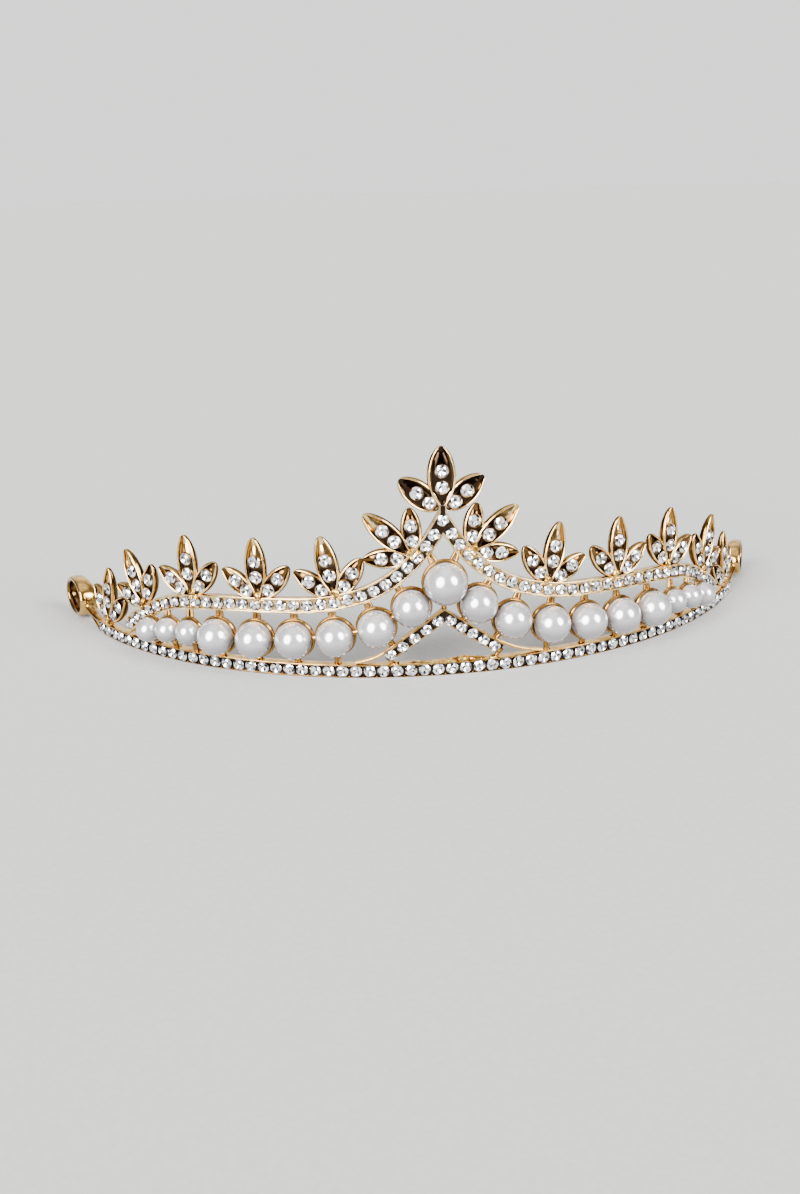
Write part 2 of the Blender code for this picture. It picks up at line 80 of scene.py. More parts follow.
# End loops
LOOP_LENGTH = 0.0132
LOOP_HEIGHTS = {"left": 0.0096, "right": 0.0086}
LOOP_RISE = 0.0004
LOOP_RIBBON = 0.0035
LOOP_THICKNESS = 0.0014
LOOP_OUT = -0.00095
LOOP_SWELL = 0.28           # how much wider the ribbon is low on the side next to the band
LOOP_SWELL_AT = 3.5
LOOP_STATIONS = 80
# The loop carries painted shade, more on the ring's inner face than on its outer one
LOOP_OUTER_TONE = 0.18
LOOP_INNER_TONE = 0.62
GAP = 0.0003
NECK_ROUTE = (
    (0.0900, 0.0024), (0.0925, 0.0027), (0.0950, 0.0030), (0.0970, 0.0036), (0.0982, 0.0047),
)
NECK_HIGH = (0.00062, 0.00102)      # half-heights of the neck at the band and at the loop
NECK_DEEP = (0.00085, 0.00130)      # half-depths
NECK_OUT = -0.00085
# the neck carries painted shade all over
NECK_TONE = 0.35

# Swag rail
RAIL_WIDTH = 0.0033
RAIL_DEPTH = 0.0017
RAIL_LIP = 0.00042
RAIL_FLOOR = -0.00042
RAIL_ROUTE = (
    (-0.0022, 0.0374), (0.0000, 0.03375), (0.0037, 0.0281), (0.0078, 0.0237),
    (0.0124, 0.0203), (0.0179, 0.0179), (0.0263, 0.0161), (0.0378, 0.0155),
    (0.0497, 0.0150), (0.0585, 0.0141), (0.0640, 0.0126), (0.0692, 0.0100),
    (0.0739, 0.0071), (0.0770, 0.0047),
)
RAIL_STEPS = 16             # points between two points of the route, whose second is the peak
APEX_HEIGHT = 0.03375
APEX_NECK = (0.0352, 0.0368)    # foot and top of the neck between the peak and the centre trio
APEX_NECK_WIDTH = 0.0015
APEX_NECK_FRONT = 0.00022
APEX_NECK_LIP = 0.00027
APEX_NECK_FLOOR = 0.00004
RAIL_STONES = 29
RAIL_STONE_OUT = -0.00008
FIRST_RAIL_STONE = 0.0035
LAST_RAIL_STONE = 0.0016
# The rail's floor carries painted shade at the apex, which fades out between these distances from
# it
RAIL_PAINTED_SHADE_FADE = {"left": (0.0150, 0.0200), "right": (0.0015, 0.0045)}

# Chevron
CHEVRON_WIDTH = 0.0026
CHEVRON_LIP = 0.00034
CHEVRON_LIP_TONE = 0.22
CHEVRON_FLOOR = -0.0004
CHEVRON_APEX = 0.0133
CHEVRON_FOOT = (0.0122, 0.0047)
CHEVRON_STATIONS = 60
CHEVRON_STONES = 5
FIRST_CHEVRON_STONE = 0.0016
LAST_CHEVRON_STONES = {"left": 0.0010, "right": 0.0019}
CHEVRON_STONE_DROP = 0.00025
TAIL_ROUTE = (
    (0.0085, 0.0087), (0.0110, 0.0070), (0.0135, 0.0056), (0.0160, 0.0045),
    (0.0188, 0.0037), (0.0215, 0.0032),
)
TAIL_REACH = {"left": 0.8, "right": 1.0}    # share of the route's length that each side runs
TAIL_WIDTH = 0.00056
TAIL_BACK = -0.0016
TAIL_FRONT = -0.0001
POST_LEAN = 0.0012          # how far a foot's post leans towards the middle
POST_RADII = (0.0006, 0.0005)

# Stones
ROW_STONE = 0.00255
CHEVRON_STONE = 0.00245
LEAF_STONE = 0.00275

# Pearls
CENTRE_PEARL = (0.0089, 0.0212, 0.0028)        # diameter, height, outward
LARGE_PEARL = (0.0079, 0.0018)                 # diameter, outward
SMALL_PEARL = (0.0055, 0.00175)
LARGE_PEARLS = (
    (0.00685, 0.0159), (0.01410, 0.0117), (0.0227, 0.0096),
    (0.03140, 0.0088), (0.04005, 0.0083), (0.0489, 0.0080),
)
SMALL_PEARLS = ((0.0558, 0.0081), (0.0614, 0.0077), (0.0670, 0.0067))
PEARL_RINGS = 40
PEARL_STEPS = 64
STEM_OUT = -0.0009
SEAT_LIP = 0.34             # how far back a seat's rim sits, in pearl radii
SEAT_RIM = 0.00060
# the seats carry painted shade all over
SEAT_TONE = 0.38
SEAT_GAP = 0.00006
CENTRE_STEM_TOPS = (0.0035, 0.0278)
STEM_RADII = (0.00046, 0.00040)
STEM_SPREAD = 0.00034       # half the distance between a stem's two wires
POST_SPREAD = 0.00028
CENTRE_POST_SPREAD = 0.0002
SPLAY = (1.6, 0.7)          # how the wires splay at the seat and close up at the far end
LINK_RADIUS = 0.00070
END_LINK_RADIUS = 0.00045
LINK_TAPER = 0.9
# stems, posts and links carry painted shade all over
ROD_TONE = 0.42

# Leaf trios
MIDDLE_LEAF = (0.0132, 0.0050)
SIDE_LEAF = (0.0104, 0.0045)
CENTRE_MIDDLE_LEAF = (0.0131, 0.0060)
CENTRE_SIDE_LEAF = (0.0112, 0.0055)
LEAF_START = 0.0012
LEAF_BACK = -0.0018
LEAF_END_WALL = 0.3         # height of a leaf's wall at its ends, as a share of that in its middle
LEAF_RIM = 0.00072
# The rim's tone gives painted shade to its outer wall and keeps its crest bright.
LEAF_EDGE = (               # across the rim from outside: share of its width, outward, tone
    (0.00, -0.00095, 0.62), (0.10, -0.00058, 0.52), (0.26, -0.00025, 0.22), (0.42, -0.00005, 0.0),
    (0.62, 0.0, 0.0), (0.80, -0.00007, 0.0), (0.95, -0.00030, 0.3),
)
LEAF_DEPTH = 0.00090
LEAF_CROWN = 0.00062        # how far a leaf's hollow bulges in its middle
LEAF_LEAN = 0.0008          # how far a leaf's tip leans back
LEAF_BELLY = 0.95           # below 1 the widest part is nearer the foot
LEAF_FULLNESS = 0.50        # below 1 the tip is rounder
LEAF_STATIONS = 26
# Painted highlight: the leaves' hollows lighten towards the tip, starting and spreading as set
# below.
PAINTED_HIGHLIGHT_SPAN = 0.18            # share of a leaf's length over which its hollow brightens
LOW_PAINTED_HIGHLIGHT = 0.42             # where along the leaf that starts on the sprigs named next
LOW_PAINTED_HIGHLIGHT_SPRIGS = ("second", "third", "fourth")
HIGH_PAINTED_HIGHLIGHT = 0.56            # and where it starts on the others
SIDE_PAINTED_HIGHLIGHT = 0.35            # brightening of the side leaves, as a share of the middle one's
SIDE_LEAF_DROP = 0.0005
SIDE_LEAF_OUT = -0.00020
LEAF_STONE_SINK = -0.00022
BEZEL_TUBE = 0.00011
# the bezels carry painted shade
BEZEL_TONE = 0.6
MIDDLE_STONES = (0.0048, 0.0081)
SIDE_STONES = (0.0034, 0.0067)
TRIOS = (
    ("inner", 0.0059, 0.0268, (4, 47, 91)),
    ("second", 0.0223, 0.0180, (-33, 12, 56)),
    ("third", 0.0393, 0.0167, (-45, 3, 51)),
    ("fourth", 0.0550, 0.0159, (-39, 6, 57)),
    ("fifth", 0.0698, 0.0112, (-21, 22, 71)),
    ("end", 0.0850, 0.0039, (-50, -5, 41)),
)
# The sprigs are soldered on by hand. How each departs from its row in TRIOS: how far out along
# the band and up it sits, and how its leaves are turned, from left to right
SPRIG_CHANGES = {
    "inner_left": (0.0005, -0.0004, (0, 0, 0)),
    "second_left": (0.0003, -0.0002, (0, 0, 0)),
    "third_left": (0.0, 0.0, (0, 0, -4)),
    "fourth_left": (0.0006, 0.0, (0, 0, -2)),
    "fifth_left": (0.0, 0.0, (0, -3, -9)),
    "end_left": (0.0, 0.0, (0, 0, -7)),
    "inner_right": (0.0001, 0.0, (5, 1, 4)),
    "second_right": (0.0005, 0.0, (3, 0, 2)),
    "third_right": (0.0007, 0.0, (6, 0, 0)),
    "fourth_right": (0.0004, 0.0, (6, -1, 0)),
    "fifth_right": (0.0002, 0.0, (4, -1, 0)),
    "end_right": (0.0, 0.0, (0, 0, 0)),
}
CENTRE_TRIO_ANGLES = (-50, 0, 50)
CENTRE_TRIO_BASE = 0.0357

# Solder: each sprig's lumps, as their place along the middle leaf, aside of it, and size
SPRIG_LUMPS = ((0.0010, 0.0, 0.00085), (-0.0003, 0.0007, 0.0007), (-0.0002, -0.0008, 0.0006))
SPRIG_LUMP_TONE = 0.35
POST_LUMP = 0.0009          # size of the lumps where the posts meet the band
CHEVRON_LUMPS = ((0.0045, 0.0113), (0.0112, 0.0069))
CHEVRON_LUMP = 0.00055
FOOT_LUMP_AT = 0.0105       # where a lump lies on the band beside each foot of the chevron
FOOT_LUMP = 0.0009

# Rough ridge of the casting on the band's upper face
RIDGE_ENDS = (-0.0090, 0.0100)
RIDGE_STATIONS = 90
RIDGE_RISE = 0.00022
RIDGE_PEAK = (0.0042, 0.0032, 0.00062)      # where it is highest, over what length, by how much
RIDGE_ROUGHNESS = 0.00016
RIDGE_OUT = -0.00115
RIDGE_DEPTH = 0.00085

# Camera, about the middle of the band's front
CAMERA_ELEVATION = math.radians(19.495)
CAMERA_AZIMUTH = math.radians(-5.564)
CAMERA_ROLL = math.radians(-1.747)
CAMERA_DISTANCE = 0.252529
CAMERA_RIGHT = -0.009099
CAMERA_UP = 0.016729
LENS = 36.18

# Studio: each panel's azimuth and elevation, its height over its width, how far its core and
# its soft edge reach from its middle, and its brightness
PANELS = (
    (-41, 26, 1.40, 0.29, 0.40, 27.0),
    (45, 29, 1.50, 0.21, 0.32, 27.0),
    (176, 24, 0.60, 0.45, 1.00, 1.6),
)
SKY = ((0.0, 0.18), (0.30, 0.10), (0.45, 0.08), (0.70, 0.42), (1.0, 0.60))    # by height
BACKDROP = 1.52
OVERHEAD = 0.6
OVERHEAD_SPREAD = math.radians(50)

SIDES = (("left", -1), ("right", 1))
chance = random.Random(7)


# ---------------------------------------------------------------- flat space

def heading(s):
    """Direction of the band at arc length s >= 0, as an angle from +X."""
    a = min(s, STRAIGHT_FROM)
    return a / FRONT_RADIUS * (1 + (a / TIGHTENING) ** 2 / 3)


def plan_points():
    """Points of the plan curve at every PLAN_STEP, by the midpoint rule."""
    points = [Vector((0.0, 0.0))]
    for i in range(round(PLAN_END / PLAN_STEP)):
        a = heading((i + 0.5) * PLAN_STEP)
        points.append(points[-1] + PLAN_STEP * Vector((math.cos(a), math.sin(a))))
    return points


PLAN = plan_points()


def place(s, height, out):
    """World position of the flat point (s, height, out)."""
    a = abs(s)
    i = min(int(a / PLAN_STEP), len(PLAN) - 2)
    p = PLAN[i].lerp(PLAN[i + 1], a / PLAN_STEP - i)
    h = heading(a)
    x = p.x + out * math.sin(h)
    y = p.y - out * math.cos(h)
    return Vector((math.copysign(x, s), y - DEPTH_CENTRE, height))


def standing(s, height, out):
    """Matrix that sets a rigid flat shape upright on the band at arc length s."""
    turn = Matrix.Rotation(math.copysign(heading(abs(s)), s), 4, "Z")
    upright = Matrix.Rotation(math.pi / 2, 4, "X")
    return Matrix.Translation(place(s, height, out)) @ turn @ upright


def smooth_route(points, steps):
    """Catmull-Rom points through a short list of (x, y) points."""
    knots = [Vector(p) for p in points]
    ends = [2 * knots[0] - knots[1]] + knots + [2 * knots[-1] - knots[-2]]
    route = []
    for a, b, c, d in zip(ends, ends[1:], ends[2:], ends[3:]):
        for i in range(steps):
            t = i / steps
            route.append(0.5 * (2 * b + (c - a) * t + (2 * a - 5 * b + 4 * c - d) * t ** 2
                                + (3 * b - a - 3 * c + d) * t ** 3))
    route.append(knots[-1])
    return route


def lengths(route):
    """Arc length from the start of a route to each of its points."""
    marks = [0.0]
    for a, b in zip(route, route[1:]):
        marks.append(marks[-1] + (b - a).length)
    return marks


def along(route, marks, distance):
    """Point and direction at a distance along a route with these arc lengths."""
    i = 0
    while i < len(marks) - 2 and marks[i + 1] < distance:
        i += 1
    direction = (route[i + 1] - route[i]).normalized()
    return route[i] + direction * (distance - marks[i]), direction


def nearest(route, point):
    """Point of a route that is nearest to a flat point."""
    return min(route, key=lambda p: (p - point).length)


def flipped(route, sign):
    """A flat route, or its mirror image where sign is -1."""
    return [Vector((sign * p.x, p.y)) for p in route]


RAIL = smooth_route(RAIL_ROUTE, RAIL_STEPS)
CHEVRON = [Vector((0.0, CHEVRON_APEX)), Vector(CHEVRON_FOOT)]


def smooth_step(low, high, value):
    """0 below low, 1 above high, with a smooth rise between."""
    t = min(1.0, max(0.0, (value - low) / (high - low)))
    return t * t * (3 - 2 * t)


# ---------------------------------------------------------------- shapes

class Shape:
    """A mesh in the making. Every point has a tone, 0 is bright and 1 is darkest, which paints
    shade on the gold and the pearls and sets amber stain on the solder; every face has a facet
    brightness, which paints the crystals' reflections.
    """

    def __init__(self):
        self.mesh = bmesh.new()
        self.tone = self.mesh.verts.layers.float.new("tone")
        self.facet = self.mesh.faces.layers.float.new("facet")

    def point(self, co, tone=0.0):
        vert = self.mesh.verts.new(co)
        vert[self.tone] = tone
        return vert

    def face(self, points, facet=0.0):
        made = self.mesh.faces.new(points)
        made[self.facet] = facet
        return made

    def loft(self, rings, closed=False):
        """Skin over rings of (position, tone) with the same number of points."""
        made = [[self.point(co, tone) for co, tone in ring] for ring in rings]
        pairs = list(zip(made, made[1:]))
        if closed:
            pairs.append((made[-1], made[0]))
        for near, far in pairs:
            for i in range(len(near)):
                self.face((near[i - 1], near[i], far[i], far[i - 1]))
        if not closed:
            self.face(made[0])
            self.face(list(reversed(made[-1])))

    def revolve(self, profile, matrix, steps, tone=0.0):
        """Turns (radius, z) points about z. A profile ends on the axis or closes."""
        rings = []
        for radius, z in profile:
            if radius < 1e-9:
                rings.append([self.point(matrix @ Vector((0, 0, z)), tone)] * steps)
                continue
            angles = [2 * math.pi * i / steps for i in range(steps)]
            rings.append([
                self.point(matrix @ Vector((radius * math.cos(a), radius * math.sin(a), z)), tone)
                for a in angles])
        for near, far in zip(rings, rings[1:]):
            for i in range(steps):
                corners = [near[i - 1], near[i], far[i], far[i - 1]]
                unique = list(dict.fromkeys(corners))
                if len(unique) > 2:
                    self.face(unique)

    def rod(self, start, end, near, far):
        """A rod between two world points, with domed ends and these two radii, with painted shade
        all over.
        """
        axis = end - start
        turn = Matrix.Translation(start) @ axis.to_track_quat("Z", "Y").to_matrix().to_4x4()
        length = axis.length
        profile = [(0, -near * 0.5), (near * 0.7, -near * 0.3), (near, 0.0)]
        profile += [(near * 0.92, length * 0.3), (near * 0.3 + far * 0.65, length * 0.7)]
        profile += [(far, length), (far * 0.7, length + far * 0.3), (0, length + far * 0.5)]
        self.revolve(profile, turn, 12, ROD_TONE)

    def blob(self, centre, size, seed, flat=1.0, tone=0.0):
        """A lump of metal. Its seed shapes it, and flat is its height over its width."""
        made = bmesh.ops.create_icosphere(self.mesh, subdivisions=3, radius=1.0)
        for vert in made["verts"]:
            swell = 1 + 0.35 * noise.noise(vert.co * 1.3 + Vector((seed, 0, 0)))
            co = vert.co * swell * size
            vert.co = centre + Vector((co.x, co.y, co.z * flat))
            vert[self.tone] = tone


def piece(name, shape, material, nodes=(), smooth=True, angle=42):
    """Makes the piece, which rides on the tiara's one body."""
    bmesh.ops.recalc_face_normals(shape.mesh, faces=shape.mesh.faces)
    mesh = bpy.data.meshes.new(name)
    shape.mesh.to_mesh(mesh)
    shape.mesh.free()
    mesh.materials.append(material)
    if smooth:
        mesh.shade_smooth()
        mesh.set_sharp_from_angle(angle=math.radians(angle))
    obj = bpy.data.objects.new(name, mesh)
    bpy.context.scene.collection.objects.link(obj)
    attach(obj, "root")
    if nodes:
        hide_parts(*nodes)


def rounded(corners, radius, steps=3):
    """(across, outward, tone) corners, each turned into a small arc of points."""
    section = []
    for i, corner in enumerate(corners):
        here = Vector(corner[:2])
        before = Vector(corners[i - 1][:2])
        after = Vector(corners[(i + 1) % len(corners)][:2])
        reach = min(radius, (before - here).length * 0.45, (after - here).length * 0.45)
        a = here + (before - here).normalized() * reach
        b = here + (after - here).normalized() * reach
        for j in range(steps):
            t = j / (steps - 1)
            p = a * (1 - t) ** 2 + here * 2 * t * (1 - t) + b * t ** 2
            section.append((p.x, p.y, corner[2]))
    return section


def channel(width, back, front, lip, floor, lip_tone, floor_tone, radius=0.00012):
    """Section of a bar with a channel for stones sunk in its front face."""
    half = width / 2
    inner = half - lip
    return rounded((
        (-half, back, 0.5), (half, back, 0.5), (half, front, lip_tone),
        (inner, front, lip_tone), (inner, floor, floor_tone), (-inner, floor, floor_tone),
        (-inner, front, lip_tone), (-half, front, lip_tone)), radius)


def across_at(route, i):
    """Unit vector across a flat route at its point i."""
    direction = (route[min(i + 1, len(route) - 1)] - route[max(i - 1, 0)]).normalized()
    return Vector((-direction.y, direction.x))


def flat_sweep(route, section):
    """Rings of flat (position, tone) for a section carried along a flat route."""
    rings = []
    for i, p in enumerate(route):
        across = across_at(route, i)
        ring = []
        for a, out, tone in section:
            q = p + across * a
            ring.append((Vector((q.x, q.y, out)), tone))
        rings.append(ring)
    return rings


def bent(rings):
    """Flat rings wrapped round the head."""
    return [[(place(*co), tone) for co, tone in ring] for ring in rings]


# ---------------------------------------------------------------- materials

def fill(tree, node, inputs):
    """Links each of these inputs of a node to an output, or sets it to a constant."""
    for key, value in inputs.items():
        if isinstance(value, bpy.types.NodeSocket):
            tree.links.new(value, node.inputs[key])
        else:
            node.inputs[key].default_value = value


def added(tree, kind, inputs, output, **settings):
    """One output of a new node with these inputs and settings."""
    node = tree.nodes.new(kind)
    for name, value in settings.items():
        setattr(node, name, value)
    fill(tree, node, inputs)
    return node.outputs[output]


def noise_texture(tree, scale, detail=3.0):
    """A noise of the given scale in the object's own coordinates."""
    where = added(tree, "ShaderNodeTexCoord", {}, "Object")
    inputs = {"Vector": where, "Scale": scale, "Detail": detail}
    return added(tree, "ShaderNodeTexNoise", inputs, "Fac")


def stored(tree, name):
    """A value stored on the mesh: "tone" on its points or "facet" on its faces."""
    return added(tree, "ShaderNodeAttribute", {}, "Fac", attribute_name=name)


def ramp(tree, source, stops):
    """A colour ramp of (position, colour) stops driven by a value."""
    made = tree.nodes.new("ShaderNodeValToRGB")
    elements = made.color_ramp.elements
    elements[0].position, elements[0].color = stops[0][0], (*stops[0][1], 1.0)
    elements[1].position, elements[1].color = stops[-1][0], (*stops[-1][1], 1.0)
    for position, colour in stops[1:-1]:
        elements.new(position).color = (*colour, 1.0)
    fill(tree, made, {"Fac": source})
    return made.outputs["Color"]


def remap(tree, source, low, high):
    """A value that runs from 0 to 1, stretched to run from low to high."""
    inputs = {"Value": source, "To Min": low, "To Max": high}
    return added(tree, "ShaderNodeMapRange", inputs, "Result")


def mixed(tree, factor, a, b, mode="MIX"):
    """Colour a where the factor is 0, mixed fully with b where it is 1."""
    inputs = {"Factor": factor, "A": a, "B": b}
    return added(tree, "ShaderNodeMix", inputs, "Result", data_type="RGBA", blend_type=mode)


def multiplied(tree, a, b):
    """Two colours multiplied."""
    return mixed(tree, 1.0, a, b, "MULTIPLY")


def relief(tree, height, strength, distance):
    """The normal of a surface with fine relief."""
    inputs = {"Height": height, "Strength": strength, "Distance": distance}
    return added(tree, "ShaderNodeBump", inputs, "Normal")


def node_material(name):
    """A new material, its node tree and its shader."""
    material = bpy.data.materials.new(name)
    material.use_nodes = True
    return material, material.node_tree, material.node_tree.nodes["Principled BSDF"]


def gold_material():
    """Pale gold-plated metal, darkened to brown by painted shade where a point's tone is high."""
    material, tree, shader = node_material("pale_gold_plating")
    drift = noise_texture(tree, 420)
    grain = noise_texture(tree, 1500, 4)
    plating_and_painted_shade = ramp(tree, stored(tree, "tone"), (
        (0.0, (0.97, 0.74, 0.37)), (0.12, (0.83, 0.565, 0.20)), (0.25, (0.60, 0.350, 0.095)),
        (0.5, (0.27, 0.150, 0.042)), (0.75, (0.125, 0.070, 0.032)),
        (1.0, (0.036, 0.022, 0.014))))
    shade = ramp(tree, drift, (
        (0.34, (0.52, 0.44, 0.33)), (0.48, (0.86, 0.81, 0.72)), (0.62, (1.0, 1.0, 1.0))))
    fill(tree, shader, {
        "Base Color": multiplied(tree, plating_and_painted_shade, shade),
        "Roughness": remap(tree, grain, 0.06, 0.20),
        "Metallic": 1.0,
        "Normal": relief(tree, grain, 0.25, 0.00004),
    })
    return material


def solder_material():
    """Warmer, rougher gold of the soldered spots and of the rough casting."""
    material, tree, shader = node_material("warm_gold_solder")
    drift = noise_texture(tree, 900, 4)
    golden = ramp(tree, drift, (
        (0.36, (0.22, 0.115, 0.020)), (0.50, (0.55, 0.36, 0.075)), (0.64, (0.84, 0.65, 0.21))))
    amber = ramp(tree, drift, (
        (0.38, (0.10, 0.022, 0.004)), (0.50, (0.40, 0.120, 0.012)), (0.62, (0.85, 0.40, 0.06))))
    fill(tree, shader, {
        "Base Color": mixed(tree, stored(tree, "tone"), golden, amber),
        "Roughness": remap(tree, drift, 0.12, 0.34),
        "Metallic": 1.0,
        "Normal": relief(tree, drift, 0.6, 0.00012),
    })
    return material


def pearl_material():
    """White imitation pearl with a satin lustre and painted shade by height: darkest low down, a
    little lighter at its very bottom, a little darker at its very top.
    """
    material, tree, shader = node_material("pearl_lustre")
    drift = noise_texture(tree, 180)
    fine = noise_texture(tree, 2600, 4)
    colour = ramp(tree, drift, (
        (0.30, (0.46, 0.446, 0.458)), (0.50, (0.52, 0.505, 0.514)), (0.70, (0.58, 0.563, 0.569))))
    # Painted shade by height, from the tone that runs from the pearl's top to its bottom.
    depth = ramp(tree, stored(tree, "tone"), (
        (0.06, (0.80, 0.79, 0.79)), (0.20, (1.0, 1.0, 1.0)), (0.34, (1.0, 1.0, 1.0)),
        (0.48, (0.72, 0.71, 0.73)), (0.65, (0.46, 0.45, 0.475)), (0.82, (0.36, 0.35, 0.375)),
        (1.0, (0.48, 0.47, 0.485))))
    fill(tree, shader, {
        "Base Color": multiplied(tree, colour, depth),
        "Roughness": remap(tree, fine, 0.20, 0.27),
        "Metallic": 0.50,
        "Coat Weight": 1.0,
        "Coat Roughness": 0.10,
        "Coat IOR": 2.3,
        "Normal": relief(tree, fine, 0.12, 0.00003),
    })
    return material


def crystal_material():
    """Foil-backed cut crystal with painted sparkle: each facet has its own painted brightness,
    standing in for reflections.
    """
    material, tree, shader = node_material("cut_crystal")
    cloud = noise_texture(tree, 2200, 2)
    # Painted reflections: each facet's brightness, from nearly black to white
    grey = ramp(tree, stored(tree, "facet"), (
        (0.0, (0.015, 0.015, 0.018)), (0.35, (0.20, 0.20, 0.22)), (0.7, (0.78, 0.79, 0.81)),
        (1.0, (1.0, 1.0, 1.0))))
    tint = ramp(tree, cloud, ((0.35, (0.92, 0.92, 0.95)), (0.65, (1.0, 0.98, 0.94))))
    fill(tree, shader, {
        "Base Color": multiplied(tree, grey, tint),
        "Roughness": remap(tree, cloud, 0.02, 0.09),
        "Metallic": 0.8,
        "Coat Weight": 1.0,
        "Coat Roughness": 0.01,
        "Coat IOR": 1.6,
    })
    return material


GOLD = gold_material()
SOLDER = solder_material()
PEARL = pearl_material()
CRYSTAL = crystal_material()


# ---------------------------------------------------------------- stones

# Painted reflections: brightness of the stone's eight sectors, inside its table and round it
TABLE_TONES = (1.0, 0.9, 0.0, 0.1, 1.0, 0.6, 0.05, 0.9)
CROWN_TONES = (1.0, 0.2, 0.7, 1.0, 0.0, 0.8, 1.0, 0.1)


def mingled(tone):
    """A facet's painted brightness, varied a little by chance."""
    return min(1.0, max(0.0, tone + chance.uniform(-0.22, 0.18)))


def cut_stone(shape, matrix, radius):
    """A round faceted stone whose girdle lies in the plane z = 0 of the matrix."""
    turn = chance.uniform(0, math.pi)
    nod = Matrix.Rotation(chance.uniform(-0.06, 0.06), 4, "X") @ Matrix.Rotation(
        chance.uniform(-0.06, 0.06), 4, "Y")
    matrix = matrix @ nod

    def ring(count, share, height, offset=0.0):
        return [shape.point(matrix @ Vector((
            share * radius * math.cos(turn + (i + offset) * 2 * math.pi / count),
            share * radius * math.sin(turn + (i + offset) * 2 * math.pi / count),
            height * radius))) for i in range(count)]

    foot = ring(16, 0.75, -0.35)
    girdle_low = ring(16, 1.0, -0.06)
    girdle = ring(16, 1.0, 0.0)
    kite = ring(8, 0.84, 0.17, 0.5)
    table = ring(8, 0.62, 0.30)
    star = ring(8, 0.33, 0.17, 0.5)
    centre = shape.point(matrix @ Vector((0, 0, 0.02 * radius)))
    shape.face(foot, 0.3)
    for i in range(16):
        shape.face((foot[i - 1], foot[i], girdle_low[i], girdle_low[i - 1]), 0.3)
        shape.face((girdle_low[i - 1], girdle_low[i], girdle[i], girdle[i - 1]), 0.5)
    first = chance.randrange(8)
    for i in range(8):
        j = (i + 1) % 8
        low = (2 * i) % 16
        crown = [mingled(CROWN_TONES[(i + first) % 8]) for _ in range(4)]
        inside = [mingled(TABLE_TONES[(i + first) % 8]) for _ in range(3)]
        shape.face((table[i], kite[i], table[j]), crown[0])
        shape.face((kite[i - 1], girdle[low], kite[i], table[i]), crown[1])
        shape.face((kite[i], girdle[low], girdle[low + 1]), crown[2])
        shape.face((kite[i], girdle[low + 1], girdle[(low + 2) % 16]), crown[3])
        shape.face((table[i], table[j], star[i]), inside[0])
        shape.face((star[i - 1], table[i], star[i]), inside[1])
        shape.face((star[i - 1], star[i], centre), inside[2])


def stone_row(name, route, distances, radius, out, node):
    """Stones at these distances along a route, as one piece in place of a CAD node."""
    shape = Shape()
    marks = lengths(route)
    for distance in distances:
        p = along(route, marks, distance)[0]
        cut_stone(shape, standing(p.x, p.y, out), radius)
    piece(name, shape, CRYSTAL, (node,), smooth=False)


def claws(shape, route, distances, half, radius, out):
    """Pairs of tiny metal grains that hold the stones, half-way between them, deepened with painted
    shade.
    """
    marks = lengths(route)
    for a, b in zip(distances, distances[1:]):
        p, direction = along(route, marks, (a + b) / 2)
        across = Vector((-direction.y, direction.x))
        for side in (-1, 1):
            q = p + across * half * side
            shape.blob(place(q.x, q.y, out), radius, q.x * 900, tone=0.5)


# ---------------------------------------------------------------- band

def slimmed(co, tone, beyond):
    """A point of the band at a share of the way from its last stone to its end, where its painted
    shade fades out.
    """
    middle = BAND_HEIGHT / 2
    high = middle + (co.y - middle) * (1 - BAND_END_SLIM * beyond) + BAND_END_RISE * beyond
    deep = (co.z - BAND_BACK / 2) * (1 - BAND_END_THIN * beyond) + BAND_BACK / 2
    bright = BAND_END_TONE + (1 - BAND_END_TONE) * max(0.0, 1 - beyond * 4)
    return Vector((co.x, high, deep)), min(tone, bright)


def rippled(co):
    """A point of the band's upper face, which is uneven, most of all near the middle, and carries
    little painted shade.
    """
    wave = noise.noise(Vector((co.x * 900, co.z * 700, 3.1)))
    rough = max(0.0, 1 - abs(co.x - ROUGH_CENTRE) / ROUGH_REACH)
    return co + Vector((0, RIPPLE * wave + ROUGH_RIPPLE * wave * rough ** 0.5, 0)), BAND_TOP_TONE


def make_band():
    # Painted shade: deepest on the channel floor, about half as deep on the back and the lips; the
    # upper face stays light.
    section = channel(BAND_HEIGHT, BAND_BACK, 0.0, BAND_LIP, BAND_FLOOR, 0.55, 1.0)
    middle = BAND_HEIGHT / 2
    count = round(2 * BAND_END / BAND_STATION)
    route = [Vector((-BAND_END + i * 2 * BAND_END / count, middle)) for i in range(count + 1)]
    rings = flat_sweep(route, section)
    for ring in rings:
        for i, (co, tone) in enumerate(ring):
            beyond = (abs(co.x) - LAST_STONE_END) / (BAND_END - LAST_STONE_END)
            if beyond > 0:
                ring[i] = slimmed(co, tone, beyond)
            elif co.y > BAND_HEIGHT - 0.0002:
                ring[i] = rippled(co)
    shape = Shape()
    shape.loft(bent(rings))
    reach = (BAND_STONES + 1) / 2 * STONE_PITCH
    line = [Vector((-reach, middle)), Vector((reach, middle))]
    distances = [STONE_PITCH * (i + 1) for i in range(BAND_STONES)]
    claws(shape, line, distances, CLAW_SPREAD, CLAW_RADIUS, -0.00004)
    piece("band_casting", shape, GOLD, ("base_band",))
    stone_row("band_crystals", line, distances, ROW_STONE / 2, 0.0, "band_stones")


def squarer(value, power):
    """A sine or cosine with its curve flattened, which makes a round section squarer."""
    return math.copysign(abs(value) ** power, value)


